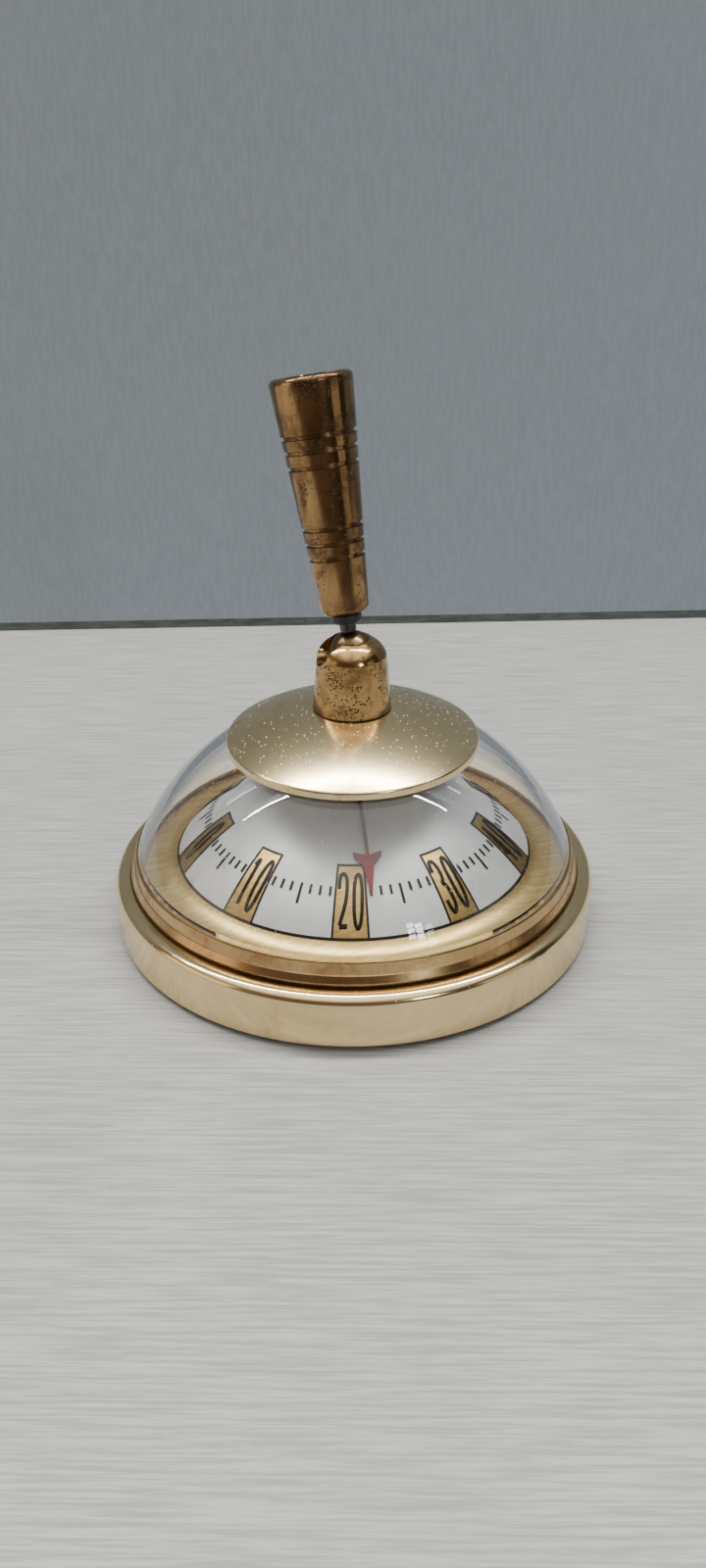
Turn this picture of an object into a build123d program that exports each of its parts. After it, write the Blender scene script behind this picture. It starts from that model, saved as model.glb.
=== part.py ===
from build123d import *
from math import asin, cos, radians, sin, sqrt, tan
import os

# Brass desk thermometer with a swivelling pen funnel.
# Millimetres. +Z is up, the origin is the centre of the pad's underside, and -Y is the front,
# where the scale's 20 stands.

# ---- fits and clearances ----
running_fit = 0.06          # radial clearance of a shaft that turns in its bush
ball_fit = 0.06             # radial clearance of the ball in its cup and seat
slip_fit = 0.05             # radial clearance of parts that are put together by hand
thread_fit = 0.04           # radial clearance left where a thread is modelled plain
turning_gap = 0.10          # gap under the socket cup, which turns on the cap
hover_gap = 0.15            # gap between the cap's rim and the dome

# ---- base ----
pad_inset = 1.8             # the pad's edge in from the skirt
pad_thickness = 1.5
skirt_wall = 1.2
crest_height = 12.85        # top of the rolled edge above the table
crest_width = 3.45          # rolled edge, from the channel out to the skirt's face
crest_outer_round = 2.2
crest_inner_round = 0.3
channel_width = 0.6         # open gap between the bezel and the rolled edge
plate_thickness = 2.0
channel_depth = 0.85        # from the crest down to the bezel's seat
seat_web = 1.2              # sheet under the bezel's seat and the dial's land
land_rise = 2.33            # the dial's land above the bezel's seat
land_overlap = 4.4          # how far the land reaches in under the dial's flange

ballast_gap = 8.3           # ballast to the inside of the skirt
ballast_width = 21.5
ballast_height = 7.6
ballast_edge = 0.8

pillar_radius = 2.9
pillar_wall_gap = 0.4       # pillar to the inside of the skirt
screw_count = 3
screw_radius = 1.5
screw_head_radius = 2.9
screw_head_height = 1.5
screw_length = 8.0
screw_slot_width = 0.8
screw_slot_depth = 0.6

# ---- dial ----
dial_edge_gap = 0.3         # the dial's edge in from the dome's foot
dial_border = 8.8           # from the lacquered field out to the dial's edge
dial_rise = 18.12           # centre of the domed field above its edge
dial_fillet = 5.0           # hollow between the field and the flange
dial_sheet = 0.6

# ---- dome and bezel ----
dome_foot_radius = 48.6     # outside of the clear dome where it leaves the bezel
dome_rise = 31.25           # its top above that edge
dome_lift = 0.2             # that edge above the bezel's lip
dome_wall = 2.2
dome_flange_width = 0.4
dome_flange_height = 1.2
gasket_thickness = 0.5
gasket_width = 1.9
bezel_wall = 0.85           # at the foot
bezel_lip = 0.3             # at the top
bezel_height = 5.85
bezel_play = 0.1
bezel_bead = 0.5            # how far the edge overhangs the foot
bezel_undercut = 1.6        # that edge above the seat
bezel_ridge_out = 0.55      # ridge between the two cones, out from the lip
bezel_ridge_drop = 2.5      # ridge below the lip

# ---- cap ----
cap_sheet = 1.0
cap_rim_radius = 27.5
cap_rim_round = 0.7
cap_air_gap = 0.9           # between the dome and the underside of the cap
cap_flat_margin = 0.4       # flat seat round the cup's foot
cushion_radius = 9.0

# ---- socket ----
ball_radius = 4.8
cup_wall = 2.54             # round the ball
cup_flare = 1.05            # how much wider the foot is than the shoulder
cup_shoulder_drop = 0.4     # shoulder below the ball's centre
cup_shoulder_round = 0.8
cup_grip = 1.05             # how far the mouth closes in over the ball
cup_lip = 0.65              # flat rim round the mouth
cup_lip_bevel = 0.45
cup_crown_bulge = 0.4       # swell of the crown between the shoulder and the mouth
cup_slot_play = 0.15        # between the slot's sides and the collar
cup_slot_drop = 2.2         # slot's floor below the ball's centre
cup_slot_angle = 195.0      # direction of the slot, counter-clockwise from +X
plug_shoulder = 0.74        # how much wider the plug is than the ball's bore
plug_height = 3.8
seat_floor = 0.6            # seat below the ball
seat_top_below_centre = 2.2
disc_spring_sheet = 0.45
disc_spring_rise = 0.45
disc_spring_gap = 1.5       # between the two springs
disc_spring_bore = 2.6
stud_radius = 2.0
stud_end = 1.2              # stud past the nut
nut_width = 1.5             # nut's flats out from the stud
nut_height = 3.2
washer_width = 2.45
washer_sheet = 0.5
washer_rise = 0.35

# ---- pen funnel ----
lean_left = 8.2             # degrees from upright towards -X at rest
lean_back = 10.0            # degrees from upright towards +Y at rest
stem_radius = 1.75
stem_tang_radius = 1.5      # part of the stem inside the ball
stem_tang_depth = 3.0       # below the ball's centre
stem_thread_depth = 6.5     # into the funnel
collar_clearance = 1.75     # bare stem between the ball and the collar
collar_length = 2.0
collar_radius = 3.25
collar_to_funnel = 0.1
funnel_length = 48.1
funnel_foot_radius = 4.98
funnel_mouth_radius = 8.62
funnel_foot_round = 1.1
funnel_mouth_round = 1.2
funnel_wall = 1.35
funnel_floor = 9.0
groove_depths = (11.6, 14.5, 17.6, 30.0, 33.1, 36.1)   # below the mouth
groove_width = 0.95
groove_depth = 0.5
liner_wall = 0.8
liner_bore_radius = 3.1
liner_bore_length = 14.0
liner_mouth_step = 1.6      # liner's rim below the funnel's mouth

# ---- movement ----
arbor_radius = 0.6
pivot_radius = 0.4
pivot_length = 2.0
bush_radius = 1.95
bush_flange_width = 1.25
bush_flange = 0.4
bush_depth = 1.9
hub_gap = 0.25
hub_flange_radius = 2.0
hub_flange = 0.16
hub_radius = 1.2
hub_height = 2.2
hand_gap = 0.9              # between the dial and the underside of the hand
hand_sheet = 0.35
hand_scale_angle = 7.3      # degrees past the scale's 20 at rest
hand_shaft_width = 0.75
hand_boss_radius = 2.4
hand_tail_length = 9.0
hand_tip_gap = 5.7          # tip in from the field's edge
hand_head_length = 6.2      # arrowhead, from its neck to the tip
hand_barb_length = 7.9      # from the barbs' ends to the tip
hand_barb_half_width = 3.0
hand_waist_half_width = 1.15
frame_pillar_height = 5.9
frame_pillar_radius = 2.2
frame_pillar_inset = 1.4    # pillar's foot in from the ballast's bevelled inner edge
frame_margin = 0.9          # frame past its pillars
frame_thickness = 1.2
frame_window_radius = 5.4
frame_screw_grip = 3.0
frame_screw_radius = 0.9
frame_screw_head_radius = 1.9
frame_screw_head = 1.2
bearing_radius = 2.5
bearing_below = 1.0
bearing_above = 1.0
coil_height = 3.0
coil_gap_above_bearing = 1.3
coil_strip = 0.35
coil_pitch = 1.3
coil_start_radius = 2.6
coil_half_turns = 17
collet_radius = 2.2
collet_height = 3.8
post_radius = 0.8

# ---- sizes that follow ----
def dome_of(foot_radius, rise):
    """Radius of the sphere that stands so high over a circle."""
    return (foot_radius ** 2 + rise ** 2) / (2 * rise)


plate_top = pad_thickness + plate_thickness
ballast_top = plate_top + ballast_height
frame_height = ballast_top + frame_pillar_height
frame_top = frame_height + frame_thickness

dome_flange_radius = dome_foot_radius + dome_flange_width
bezel_foot_radius = dome_flange_radius + bezel_play + bezel_wall
crest_inner_radius = bezel_foot_radius + channel_width
skirt_radius = crest_inner_radius + crest_width
skirt_inner_radius = skirt_radius - skirt_wall
bezel_seat_height = crest_height - channel_depth
crest_underside = bezel_seat_height - seat_web
bezel_lip_height = bezel_seat_height + bezel_height

dial_flange_radius = dome_foot_radius - dial_edge_gap
print_radius = dial_flange_radius - dial_border
dial_ball_radius = dome_of(print_radius, dial_rise)
field_slope = asin(print_radius / dial_ball_radius)
land_height = bezel_seat_height + land_rise
flange_top = land_height + dial_sheet
hollow_centre_radius = print_radius + dial_fillet * sin(field_slope)
hollow_centre_height = flange_top + dial_fillet
print_edge_height = hollow_centre_height - dial_fillet * cos(field_slope)
dial_apex = print_edge_height + dial_rise
dial_centre_height = dial_apex - dial_ball_radius
dial_hole_radius = bush_radius + slip_fit

gasket_top = flange_top + gasket_thickness
dome_flange_top = gasket_top + dome_flange_height
dome_radius = dome_of(dome_foot_radius, dome_rise)
dome_inner_radius = dome_radius - dome_wall
dome_centre_height = bezel_lip_height + dome_lift + dome_rise - dome_radius
dome_inner_top = dome_centre_height + dome_inner_radius

stud_hole_radius = stud_radius + running_fit
ball_bore_radius = ball_radius + ball_fit
cup_shoulder_radius = ball_bore_radius + cup_wall
cup_foot_radius = cup_shoulder_radius + cup_flare
cap_flat_radius = cup_foot_radius + cap_flat_margin
cap_inner_radius = dome_radius + cap_air_gap
cap_outer_radius = cap_inner_radius + cap_sheet


def ball_z(centre_height, radius, r):
    """Height of a sphere's upper half at distance r from the axis."""
    return centre_height + sqrt(radius ** 2 - r ** 2)


def cap_arc(centre_height, radius, r_from, r_to):
    """Arc of a sphere's meridian between two distances from the axis."""
    r_mid = (r_from + r_to) / 2
    return ThreePointArc(
        (r_from, ball_z(centre_height, radius, r_from)),
        (r_mid, ball_z(centre_height, radius, r_mid)),
        (r_to, ball_z(centre_height, radius, r_to)),
    )


def turned(*outline):
    """Solid of revolution about Z from a closed outline of edges in (radius, height)."""
    return revolve(Plane.XZ * make_face(Wire([edge for line in outline for edge in line.edges()])), Axis.Z)


def tube(r_outer, r_inner, z_low, z_high):
    """Plain ring between two heights."""
    outline = Polyline((r_inner, z_low), (r_outer, z_low), (r_outer, z_high), (r_inner, z_high), close=True)
    return turned(outline)


def rod(radius, z_low, z_high):
    """Plain cylinder on the axis between two heights."""
    return Pos(0, 0, z_low) * Cylinder(radius, z_high - z_low, align=(Align.CENTER, Align.CENTER, Align.MIN))


def around(count, circle_radius, start_angle=90.0):
    """Places spaced evenly on a circle."""
    return [Rot(0, 0, start_angle + 360 * i / count) * Pos(circle_radius, 0, 0) for i in range(count)]


def group(solids):
    """Separate solids kept in one node."""
    return Compound(children=list(solids))


# ---- base ----
pillar_circle = skirt_inner_radius - pillar_wall_gap - pillar_radius
ballast_outer_radius = skirt_inner_radius - ballast_gap
ballast_inner_radius = ballast_outer_radius - ballast_width
ballast_screw_circle = (ballast_inner_radius + ballast_outer_radius) / 2
land_radius = dome_flange_radius - bezel_play


def make_base_shell():
    outer_r = skirt_radius - crest_outer_round
    outer_z = crest_height - crest_outer_round
    inner_r = crest_inner_radius + crest_inner_round
    inner_z = crest_height - crest_inner_round
    half = sqrt(0.5)
    crest_out = ThreePointArc(
        (skirt_radius, outer_z),
        (outer_r + crest_outer_round * half, outer_z + crest_outer_round * half),
        (outer_r, crest_height),
    )
    crest_in = ThreePointArc(
        (inner_r, crest_height),
        (inner_r - crest_inner_round * half, inner_z + crest_inner_round * half),
        (crest_inner_radius, inner_z),
    )
    land_inner = dial_flange_radius - land_overlap
    web_radius = land_radius - seat_web
    outer_side = Line((skirt_radius, pad_thickness), (skirt_radius, outer_z))
    top = Line((outer_r, crest_height), (inner_r, crest_height))
    seat_and_inside = Polyline(
        (crest_inner_radius, inner_z),
        (crest_inner_radius, bezel_seat_height),
        (land_radius, bezel_seat_height),
        (land_radius, land_height),
        (land_inner, land_height),
        (land_inner, land_height - seat_web),
        (web_radius, land_height - seat_web),
        (web_radius, crest_underside),
        (skirt_inner_radius, crest_underside),
        (skirt_inner_radius, pad_thickness),
        (skirt_radius, pad_thickness),
    )
    return turned(outer_side, crest_out, top, crest_in, seat_and_inside)


def countersunk_screw(place, length):
    """Slotted countersunk screw, driven from below, flush with the plate's underside."""
    z = pad_thickness
    outline = Polyline(
        (0, z),
        (screw_head_radius, z),
        (screw_radius, z + screw_head_height),
        (screw_radius, z + length),
        (0, z + length),
        close=True,
    )
    slot = Pos(0, 0, z) * Box(2 * screw_head_radius, screw_slot_width, 2 * screw_slot_depth)
    return place * (turned(outline) - slot)


def screw_hole(place, length):
    """Space for a countersunk screw with its fit."""
    z = pad_thickness
    head = screw_head_radius + thread_fit
    shank = screw_radius + thread_fit
    outline = Polyline(
        (0, z - 1),
        (head, z - 1),
        (head, z),
        (shank, z + screw_head_height),
        (shank, z + length + thread_fit),
        (0, z + length + thread_fit),
        close=True,
    )
    return place * turned(outline)


base_screw_places = around(screw_count, pillar_circle)
ballast_screw_places = around(screw_count, ballast_screw_circle, start_angle=30.0)


def make_base_pad():
    return rod(skirt_radius - pad_inset, 0, pad_thickness)


def make_base_plate():
    plate = rod(skirt_inner_radius - slip_fit, pad_thickness, plate_top)
    for place in base_screw_places + ballast_screw_places:
        plate -= screw_hole(place, screw_length)
    return plate


def make_base_screws():
    return group(countersunk_screw(place, screw_length) for place in base_screw_places)


def make_ballast_screws():
    return group(countersunk_screw(place, screw_length) for place in ballast_screw_places)


def make_shell_pillars():
    pillars = []
    for place in base_screw_places:
        pillar = place * rod(pillar_radius, plate_top, crest_underside)
        pillars.append((pillar - screw_hole(place, screw_length)).solid())
    return group(pillars)


def make_ballast():
    outline = Polyline(
        (ballast_inner_radius, plate_top),
        (ballast_outer_radius, plate_top),
        (ballast_outer_radius, ballast_top - ballast_edge),
        (ballast_outer_radius - ballast_edge, ballast_top),
        (ballast_inner_radius + ballast_edge, ballast_top),
        (ballast_inner_radius, ballast_top - ballast_edge),
        close=True,
    )
    ring = turned(outline)
    for place in ballast_screw_places:
        ring -= screw_hole(place, screw_length)
    for place in base_screw_places:
        ring -= place * rod(pillar_radius + 2 * slip_fit, plate_top, ballast_top)
    return ring


# ---- dial, gasket, dome, bezel ----
def dial_outline(offset):
    """Field, hollow and flange of the dial sheet, shifted down by the offset along its own normal."""
    field = dial_ball_radius - offset
    hollow = dial_fillet + offset
    middle = field_slope / 2
    return [
        cap_arc(dial_centre_height, field, dial_hole_radius, field * sin(field_slope)),
        ThreePointArc(
            (hollow_centre_radius - hollow * sin(field_slope), hollow_centre_height - hollow * cos(field_slope)),
            (hollow_centre_radius - hollow * sin(middle), hollow_centre_height - hollow * cos(middle)),
            (hollow_centre_radius, hollow_centre_height - hollow),
        ),
        Line((hollow_centre_radius, flange_top - offset), (dial_flange_radius, flange_top - offset)),
    ]


def make_dial_plate():
    upper = dial_outline(0)
    lower = dial_outline(dial_sheet)
    hole_top = (dial_hole_radius, ball_z(dial_centre_height, dial_ball_radius, dial_hole_radius))
    hole_bottom = (dial_hole_radius, ball_z(dial_centre_height, dial_ball_radius - dial_sheet, dial_hole_radius))
    edge = Line((dial_flange_radius, flange_top), (dial_flange_radius, land_height))
    return turned(*upper, edge, *lower, Line(hole_bottom, hole_top))


def make_dome_gasket():
    return tube(dial_flange_radius, dial_flange_radius - gasket_width, flange_top, gasket_top)


def make_crystal_dome():
    inner_foot = dome_foot_radius - dome_wall
    outer_foot_z = ball_z(dome_centre_height, dome_radius, dome_foot_radius)
    inner_foot_z = ball_z(dome_centre_height, dome_inner_radius, inner_foot)
    hole = stud_hole_radius + slip_fit
    top_outer = ball_z(dome_centre_height, dome_radius, hole)
    top_inner = ball_z(dome_centre_height, dome_inner_radius, hole)
    foot = Polyline(
        (dome_foot_radius, outer_foot_z),
        (dome_foot_radius, dome_flange_top),
        (dome_flange_radius, dome_flange_top),
        (dome_flange_radius, gasket_top),
        (inner_foot, gasket_top),
        (inner_foot, inner_foot_z),
    )
    return turned(
        cap_arc(dome_centre_height, dome_radius, hole, dome_foot_radius),
        foot,
        cap_arc(dome_centre_height, dome_inner_radius, inner_foot, hole),
        Line((hole, top_inner), (hole, top_outer)),
    )


def make_bezel_ring():
    lip_inner = dome_foot_radius + bezel_play
    recess = dome_flange_radius + bezel_play
    step_z = dome_flange_top + bezel_play
    z = bezel_seat_height
    top = bezel_lip_height
    bezel_lip_radius = lip_inner + bezel_lip
    bead_radius = bezel_foot_radius + bezel_bead
    bead_z = z + bezel_undercut
    ridge_radius = bezel_lip_radius + bezel_ridge_out
    ridge_z = top - bezel_ridge_drop
    outline = Polyline(
        (recess, z),
        (bezel_foot_radius - 0.3, z),
        (bezel_foot_radius, z + 0.3),
        (bezel_foot_radius, bead_z - 0.15),
        (bead_radius - 0.15, bead_z - 0.15),
        (bead_radius, bead_z),
        (bead_radius, bead_z + 0.15),
        (bead_radius - 0.12, bead_z + 0.3),
        (ridge_radius + 0.12, ridge_z - 0.15),
        (ridge_radius + 0.12, ridge_z),
        (ridge_radius, ridge_z + 0.12),
        (bezel_lip_radius + 0.12, top - 0.4),
        (bezel_lip_radius + 0.12, top - 0.15),
        (bezel_lip_radius, top),
        (lip_inner, top),
        (lip_inner, step_z),
        (recess, step_z),
        close=True,
    )
    return turned(outline)


# ---- cap and what holds it ----
def make_cushion_washer():
    low = dome_radius + slip_fit
    high = cap_inner_radius - slip_fit
    hole = stud_hole_radius + slip_fit
    return turned(
        cap_arc(dome_centre_height, high, hole, cushion_radius),
        Line(
            (cushion_radius, ball_z(dome_centre_height, high, cushion_radius)),
            (cushion_radius, ball_z(dome_centre_height, low, cushion_radius)),
        ),
        cap_arc(dome_centre_height, low, cushion_radius, hole),
        Line(
            (hole, ball_z(dome_centre_height, low, hole)),
            (hole, ball_z(dome_centre_height, high, hole)),
        ),
    )


cap_flat_height = ball_z(dome_centre_height, cap_outer_radius, cap_flat_radius)
cap_rim_height = ball_z(dome_centre_height, dome_radius, cap_rim_radius - cap_sheet) + hover_gap


def make_cap_disc():
    inner_wall = cap_rim_radius - cap_sheet
    rim_top = ball_z(dome_centre_height, cap_outer_radius, cap_rim_radius)
    inner_top = ball_z(dome_centre_height, cap_inner_radius, inner_wall)
    blank = turned(
        Line((stud_hole_radius, cap_flat_height), (cap_flat_radius, cap_flat_height)),
        cap_arc(dome_centre_height, cap_outer_radius, cap_flat_radius, cap_rim_radius),
        Polyline(
            (cap_rim_radius, rim_top),
            (cap_rim_radius, cap_rim_height),
            (inner_wall, cap_rim_height),
            (inner_wall, inner_top),
        ),
        cap_arc(dome_centre_height, cap_inner_radius, inner_wall, stud_hole_radius),
        Line(
            (stud_hole_radius, ball_z(dome_centre_height, cap_inner_radius, stud_hole_radius)),
            (stud_hole_radius, cap_flat_height),
        ),
    )
    rim_edge = blank.edges().filter_by(GeomType.CIRCLE).filter_by(
        lambda edge: abs(edge.radius - cap_rim_radius) < 0.01 and edge.center().Z > rim_top - 0.1
    )
    return fillet(rim_edge, cap_rim_round)


# ---- socket ----
cup_foot_height = cap_flat_height + turning_gap
plug_top = cup_foot_height + plug_height
plug_radius = ball_bore_radius + plug_shoulder
disc_spring_pack = 2 * (disc_spring_sheet + disc_spring_rise) + disc_spring_gap
seat_bottom = plug_top + disc_spring_pack
seat_height = ball_radius - seat_top_below_centre + seat_floor
seat_top = seat_bottom + seat_height
ball_centre_height = seat_top + seat_top_below_centre
cup_mouth_radius = ball_radius - cup_grip
cup_top = ball_centre_height + sqrt(ball_bore_radius ** 2 - cup_mouth_radius ** 2)
cup_slot_floor = ball_centre_height - cup_slot_drop
cup_slot_width = 2 * (collar_radius + cup_slot_play)
washer_radius = stud_radius + washer_width
washer_top = ball_z(dome_centre_height, dome_inner_radius, washer_radius) - slip_fit
washer_bottom = washer_top - washer_sheet - washer_rise
nut_bottom = washer_bottom - nut_height
nut_flat_radius = stud_radius + nut_width


def make_socket_cup():
    shoulder_z = ball_centre_height - cup_shoulder_drop
    rim_radius = cup_mouth_radius + cup_lip
    foot_edge = 0.25
    crown_edge = (rim_radius + cup_lip_bevel, cup_top - cup_lip_bevel)
    run = crown_edge[0] - cup_shoulder_radius
    rise = crown_edge[1] - shoulder_z
    swell = cup_crown_bulge / sqrt(run ** 2 + rise ** 2)
    crown_middle = (
        cup_shoulder_radius + run / 2 + rise * swell,
        shoulder_z + rise / 2 - run * swell,
    )
    crown = ThreePointArc((cup_shoulder_radius, shoulder_z), crown_middle, crown_edge)
    lip = Polyline(crown_edge, (rim_radius, cup_top), (0, cup_top), (0, cup_foot_height))
    side = Polyline(
        (0, cup_foot_height),
        (cup_foot_radius - foot_edge, cup_foot_height),
        (cup_foot_radius, cup_foot_height + foot_edge),
        (cup_shoulder_radius, shoulder_z),
    )
    blank = turned(crown, lip, side)
    shoulder = blank.edges().filter_by(GeomType.CIRCLE).filter_by(
        lambda edge: abs(edge.radius - cup_shoulder_radius) < 0.01 and abs(edge.center().Z - shoulder_z) < 0.01
    )
    cup = fillet(shoulder, cup_shoulder_round)
    cup -= rod(plug_radius + thread_fit, cup_foot_height, plug_top)
    cup -= rod(ball_bore_radius, plug_top, ball_centre_height)
    cup -= Pos(0, 0, ball_centre_height) * Sphere(ball_bore_radius)
    round_r = cup_slot_width / 2
    reach = cup_foot_radius + 1
    straight = cup_top + 1 - cup_slot_floor - round_r
    slot = Pos(reach / 2, 0, cup_top + 1 - straight / 2) * Box(reach, cup_slot_width, straight)
    slot_end = Pos(reach / 2, 0, cup_slot_floor + round_r) * Rot(0, 90, 0) * Cylinder(round_r, reach)
    return cup - Rot(0, 0, cup_slot_angle) * (slot + slot_end)


def make_socket_plug():
    return tube(plug_radius, stud_radius + thread_fit, cup_foot_height, plug_top)


def dished_ring(r_outer, r_inner, z_low, sheet, rise, cone_up=True):
    """Dished spring washer: its inner edge is higher than its outer edge, or the other way round."""
    outer_low = z_low if cone_up else z_low + rise
    inner_low = z_low + rise if cone_up else z_low
    outline = Polyline(
        (r_inner, inner_low),
        (r_outer, outer_low),
        (r_outer, outer_low + sheet),
        (r_inner, inner_low + sheet),
        close=True,
    )
    return turned(outline)


def make_disc_springs():
    disc_spring_radius = ball_bore_radius - 2 * slip_fit
    lower = dished_ring(disc_spring_radius, disc_spring_bore, plug_top, disc_spring_sheet, disc_spring_rise)
    upper = dished_ring(
        disc_spring_radius,
        disc_spring_bore,
        seat_bottom - disc_spring_sheet - disc_spring_rise,
        disc_spring_sheet,
        disc_spring_rise,
        cone_up=False,
    )
    return group([lower.solid(), upper.solid()])


def make_ball_seat():
    seat = tube(ball_bore_radius - slip_fit, disc_spring_bore, seat_bottom, seat_top)
    return seat - Pos(0, 0, ball_centre_height) * Sphere(ball_bore_radius)


def make_socket_stud():
    low = nut_bottom - stud_end
    high = plug_top
    edge = 0.4
    outline = Polyline(
        (0, low),
        (stud_radius - edge, low),
        (stud_radius, low + edge),
        (stud_radius, high),
        (0, high),
        close=True,
    )
    return turned(outline)


def make_stud_nut():
    corner_radius = 2 * nut_flat_radius / sqrt(3)
    prism = Pos(0, 0, nut_bottom) * extrude(RegularPolygon(corner_radius, 6), nut_height)
    edge = 0.5
    turned_envelope = turned(
        Polyline(
            (0, nut_bottom),
            (nut_flat_radius - edge / 2, nut_bottom),
            (corner_radius, nut_bottom + edge),
            (corner_radius, nut_bottom + nut_height - edge),
            (nut_flat_radius - edge / 2, nut_bottom + nut_height),
            (0, nut_bottom + nut_height),
            close=True,
        )
    )
    return (prism & turned_envelope) - rod(stud_radius + thread_fit, nut_bottom, washer_bottom)


def make_spring_washer():
    return dished_ring(
        washer_radius, stud_radius + slip_fit, washer_bottom, washer_sheet, washer_rise, cone_up=False
    )


# ---- pen funnel, built upright from the ball's centre and then leant ----
lean = Vector(-tan(radians(lean_left)), tan(radians(lean_back)), 1).normalized()
leant = Plane(origin=(0, 0, ball_centre_height), z_dir=lean).location
collar_start = ball_radius + collar_clearance
collar_end = collar_start + collar_length
funnel_start = collar_end + collar_to_funnel
funnel_end = funnel_start + funnel_length
funnel_floor_z = funnel_start + funnel_floor
funnel_taper = (funnel_mouth_radius - funnel_foot_radius) / funnel_length
liner_end = funnel_end - liner_mouth_step


def funnel_radius(z):
    """Outside of the funnel at a distance z along the stem."""
    return funnel_foot_radius + funnel_taper * (z - funnel_start)


def make_swivel_ball():
    ball = Sphere(ball_radius) - rod(stem_tang_radius + running_fit, -stem_tang_depth - 0.1, ball_radius)
    return leant * ball


def make_stem():
    end = funnel_start + stem_thread_depth
    edge = 0.3
    outline = Polyline(
        (0, -stem_tang_depth),
        (stem_tang_radius - edge, -stem_tang_depth),
        (stem_tang_radius, -stem_tang_depth + edge),
        (stem_tang_radius, ball_radius + 0.1),
        (stem_radius, ball_radius + 0.1),
        (stem_radius, end - edge),
        (stem_radius - edge, end),
        (0, end),
        close=True,
    )
    return leant * turned(outline)


def make_lock_collar():
    edge = 0.35
    bore = stem_radius + thread_fit
    outline = Polyline(
        (bore, collar_start),
        (collar_radius - edge, collar_start),
        (collar_radius, collar_start + edge),
        (collar_radius, collar_end - edge),
        (collar_radius - edge, collar_end),
        (bore, collar_end),
        close=True,
    )
    return leant * turned(outline)


def make_pen_funnel():
    blank = turned(
        Polyline(
            (0, funnel_start),
            (funnel_foot_radius, funnel_start),
            (funnel_mouth_radius, funnel_end),
            (0, funnel_end),
            close=True,
        )
    )
    rims = blank.edges().filter_by(GeomType.CIRCLE)
    blank = fillet(rims.sort_by(Axis.Z)[-1], funnel_mouth_round)
    blank = fillet(blank.edges().filter_by(GeomType.CIRCLE).sort_by(Axis.Z)[0], funnel_foot_round)
    hollow = turned(
        Polyline(
            (0, funnel_floor_z),
            (funnel_radius(funnel_floor_z) - funnel_wall, funnel_floor_z),
            (funnel_radius(funnel_end + 1) - funnel_wall, funnel_end + 1),
            (0, funnel_end + 1),
            close=True,
        )
    )
    funnel = blank - hollow
    for depth in groove_depths:
        z = funnel_end - depth
        r = funnel_radius(z)
        funnel -= tube(r + 1, r - groove_depth, z - groove_width / 2, z + groove_width / 2)
    stem_hole = rod(stem_radius + thread_fit, funnel_start, funnel_start + stem_thread_depth + thread_fit)
    return leant * (funnel - stem_hole)


def make_funnel_liner():
    shrink = funnel_wall + slip_fit
    bore_top = funnel_floor_z + liner_bore_length
    outline = Polyline(
        (0, funnel_floor_z),
        (funnel_radius(funnel_floor_z) - shrink, funnel_floor_z),
        (funnel_radius(liner_end) - shrink, liner_end),
        (funnel_radius(liner_end) - shrink - liner_wall, liner_end),
        (liner_bore_radius, bore_top),
        (liner_bore_radius, funnel_floor_z + liner_wall),
        (0, funnel_floor_z + liner_wall),
        close=True,
    )
    return leant * turned(outline)


# ---- movement ----
bearing_top = frame_top + bearing_above
pivot_foot = bearing_top - pivot_length
coil_low = bearing_top + coil_gap_above_bearing
bush_top = dial_apex + bush_flange
hub_low = bush_top + hub_gap
hub_seat = hub_low + hub_flange
arbor_top = hub_seat + hub_height
hand_inner_radius = dial_ball_radius + hand_gap
hand_tip_radius = print_radius - hand_tip_gap
coil_end_radius = coil_start_radius + coil_half_turns * coil_pitch / 2
frame_pillar_circle = ballast_inner_radius + ballast_edge + frame_pillar_inset + frame_pillar_radius
frame_radius = frame_pillar_circle + frame_pillar_radius + frame_margin
frame_window_circle = (frame_pillar_circle + bearing_radius) * 0.6
frame_pillar_places = around(screw_count, frame_pillar_circle)


def make_movement_frame():
    frame = rod(frame_radius, frame_height, frame_top)
    for place in around(screw_count, frame_window_circle, start_angle=30.0):
        frame -= place * rod(frame_window_radius, frame_height, frame_top)
    for place in frame_pillar_places:
        frame -= place * rod(frame_screw_radius + thread_fit, frame_height, frame_top)
    frame -= rod(bearing_radius + thread_fit, frame_height, frame_top)
    return frame - anchor_post_place * rod(post_radius + thread_fit, frame_height, frame_top)


def make_frame_pillars():
    pillars = []
    for place in frame_pillar_places:
        pillar = place * rod(frame_pillar_radius, ballast_top, frame_height)
        pillar -= place * rod(frame_screw_radius + thread_fit, frame_height - frame_screw_grip, frame_height)
        pillars.append(pillar.solid())
    return group(pillars)


def make_frame_screws():
    screws = []
    for place in frame_pillar_places:
        shank = rod(frame_screw_radius, frame_height - frame_screw_grip + thread_fit, frame_top)
        head = rod(frame_screw_head_radius, frame_top, frame_top + frame_screw_head)
        slot = Pos(0, 0, frame_top + frame_screw_head) * Box(
            2 * frame_screw_head_radius, screw_slot_width * 0.6, screw_slot_depth
        )
        screws.append((place * (shank + head - slot)).solid())
    return group(screws)


def make_lower_bearing():
    bush = rod(bearing_radius, frame_height - bearing_below, bearing_top)
    return bush - rod(pivot_radius + running_fit, pivot_foot - 0.1, bearing_top)


def make_dial_bush():
    outline = Polyline(
        (arbor_radius + running_fit, dial_apex - bush_depth),
        (bush_radius, dial_apex - bush_depth),
        (bush_radius, dial_apex),
        (bush_radius + bush_flange_width, dial_apex),
        (bush_radius + bush_flange_width - 0.15, bush_top),
        (arbor_radius + running_fit, bush_top),
        close=True,
    )
    return turned(outline)


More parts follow.
